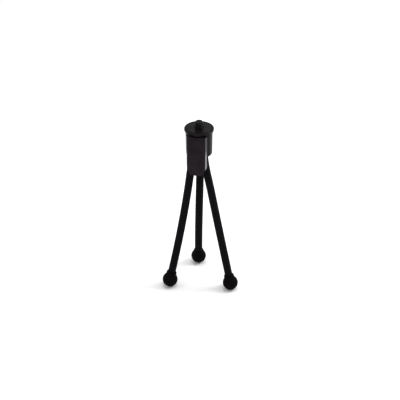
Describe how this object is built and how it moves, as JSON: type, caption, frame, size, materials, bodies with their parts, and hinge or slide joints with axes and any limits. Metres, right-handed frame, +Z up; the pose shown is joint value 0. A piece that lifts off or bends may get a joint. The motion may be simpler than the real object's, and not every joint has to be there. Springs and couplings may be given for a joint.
{
  "type": "mini tripod",
  "caption": "Pocket camera tripod: a turning platform with a camera screw on a round hub, a spring pocket clip, and bendable gooseneck legs that end in rubber balls.",
  "frame": {"origin": "on the camera screw's axis, at the level of the pad's top face, where the camera's base rests", "axes": "+Z up along the camera screw, -Y towards the clip at the front, +X to the right seen from the front"},
  "size_m": [0.059, 0.0488, 0.1422],
  "materials": {
    "disc_plastic": "satin black moulded, rounded rim",
    "pad_rubber": "matt grained",
    "stud_steel": "blackened steel, threaded",
    "small_steel": "plain zinc",
    "washer_nylon": "natural nylon",
    "hub_plastic": "semi-gloss black moulded",
    "block_plastic": "matt black moulded",
    "clip_plastic": "fine-grained black moulded",
    "screw_black": "black oxide",
    "gooseneck_black": "black coated, wound ribs",
    "foot_rubber": "matt black moulded rubber"
  },
  "bodies": {
    "platform": {"platform_disc": "disc_plastic", "platform_pad": "pad_rubber", "camera_screw": "stud_steel", "retaining_washer": "small_steel", "lock_nut": "small_steel"},
    "hub": {"hub_shell": "hub_plastic", "bearing_washer": "washer_nylon", "spring_washer": "small_steel", "leg_block": "block_plastic", "block_screws": "screw_black", "clip_pin": "small_steel", "clip_spring": "small_steel", "left_socket_sleeve": "screw_black", "left_leg_root": "gooseneck_black", "right_socket_sleeve": "screw_black", "right_leg_root": "gooseneck_black", "back_socket_sleeve": "screw_black", "back_leg_root": "gooseneck_black"},
    "clip": {"clip_tongue": "clip_plastic"},
    "left_leg_upper_body": {"left_leg_upper": "gooseneck_black"},
    "left_leg_middle_body": {"left_leg_middle": "gooseneck_black"},
    "left_leg_lower_body": {"left_leg_lower": "gooseneck_black"},
    "left_leg_end_body": {"left_leg_end": "gooseneck_black", "left_foot_sleeve": "screw_black", "left_foot_ball": "foot_rubber"},
    "right_leg_upper_body": {"right_leg_upper": "gooseneck_black"},
    "right_leg_middle_body": {"right_leg_middle": "gooseneck_black"},
    "right_leg_lower_body": {"right_leg_lower": "gooseneck_black"},
    "right_leg_end_body": {"right_leg_end": "gooseneck_black", "right_foot_sleeve": "screw_black", "right_foot_ball": "foot_rubber"},
    "back_leg_upper_body": {"back_leg_upper": "gooseneck_black"},
    "back_leg_middle_body": {"back_leg_middle": "gooseneck_black"},
    "back_leg_lower_body": {"back_leg_lower": "gooseneck_black"},
    "back_leg_end_body": {"back_leg_end": "gooseneck_black", "back_foot_sleeve": "screw_black", "back_foot_ball": "foot_rubber"}
  },
  "joints": [
    {"name": "platform_turn", "type": "hinge", "parent": "hub", "child": "platform", "pos_m": [0, 0, 0], "axis": [0, 0, 1], "continuous": true},
    {"name": "clip_open", "type": "hinge", "parent": "hub", "child": "clip", "pos_m": [0, -0.0077, -0.0058], "axis": [-1, 0, 0], "range_deg": [0, 8], "stiffness_Nm_per_rad": 0.35, "springref_deg": -8.59},
    {"name": "left_root_bend", "type": "hinge", "parent": "hub", "child": "left_leg_upper_body", "pos_m": [-0.00464, -0.00268, -0.02458], "axis": [-0.5, 0.866, 0], "range_deg": [-8, 35]},
    {"name": "left_upper_bend", "type": "hinge", "parent": "left_leg_upper_body", "child": "left_leg_middle_body", "pos_m": [-0.00776, -0.00377, -0.05158], "axis": [-0.8554, -0.4939, 0.156], "range_deg": [-35, 35]},
    {"name": "left_middle_bend", "type": "hinge", "parent": "left_leg_middle_body", "child": "left_leg_lower_body", "pos_m": [-0.0116, -0.0056, -0.07845], "axis": [0.5, -0.866, 0], "range_deg": [-35, 35]},
    {"name": "left_lower_bend", "type": "hinge", "parent": "left_leg_lower_body", "child": "left_leg_end_body", "pos_m": [-0.01602, -0.00834, -0.10514], "axis": [-0.8441, -0.4873, 0.2237], "range_deg": [-35, 35]},
    {"name": "right_root_bend", "type": "hinge", "parent": "hub", "child": "right_leg_upper_body", "pos_m": [0.00464, -0.00268, -0.02458], "axis": [-0.5, -0.866, 0], "range_deg": [-8, 35]},
    {"name": "right_upper_bend", "type": "hinge", "parent": "right_leg_upper_body", "child": "right_leg_middle_body", "pos_m": [0.01007, -0.00416, -0.05119], "axis": [0.8494, -0.4904, 0.1949], "range_deg": [-35, 35]},
    {"name": "right_middle_bend", "type": "hinge", "parent": "right_leg_middle_body", "child": "right_leg_lower_body", "pos_m": [0.01551, -0.00532, -0.07782], "axis": [0.5, 0.866, 0], "range_deg": [-35, 35]},
    {"name": "right_lower_bend", "type": "hinge", "parent": "right_leg_lower_body", "child": "right_leg_end_body", "pos_m": [0.02094, -0.00615, -0.10446], "axis": [0.8516, -0.4916, 0.182], "range_deg": [-35, 35]},
    {"name": "back_root_bend", "type": "hinge", "parent": "hub", "child": "back_leg_upper_body", "pos_m": [0, 0.00536, -0.02458], "axis": [1, 0, 0], "range_deg": [-8, 35]},
    {"name": "back_upper_bend", "type": "hinge", "parent": "back_leg_upper_body", "child": "back_leg_middle_body", "pos_m": [-0.00114, 0.0082, -0.05161], "axis": [0, 0.9881, 0.1541], "range_deg": [-35, 35]},
    {"name": "back_middle_bend", "type": "hinge", "parent": "back_leg_middle_body", "child": "back_leg_lower_body", "pos_m": [-0.00256, 0.01239, -0.07845], "axis": [-1, 0, 0], "range_deg": [-35, 35]},
    {"name": "back_lower_bend", "type": "hinge", "parent": "back_leg_lower_body", "child": "back_leg_end_body", "pos_m": [-0.00411, 0.01793, -0.10503], "axis": [0, 0.967, 0.2547], "range_deg": [-35, 35]}
  ]
}
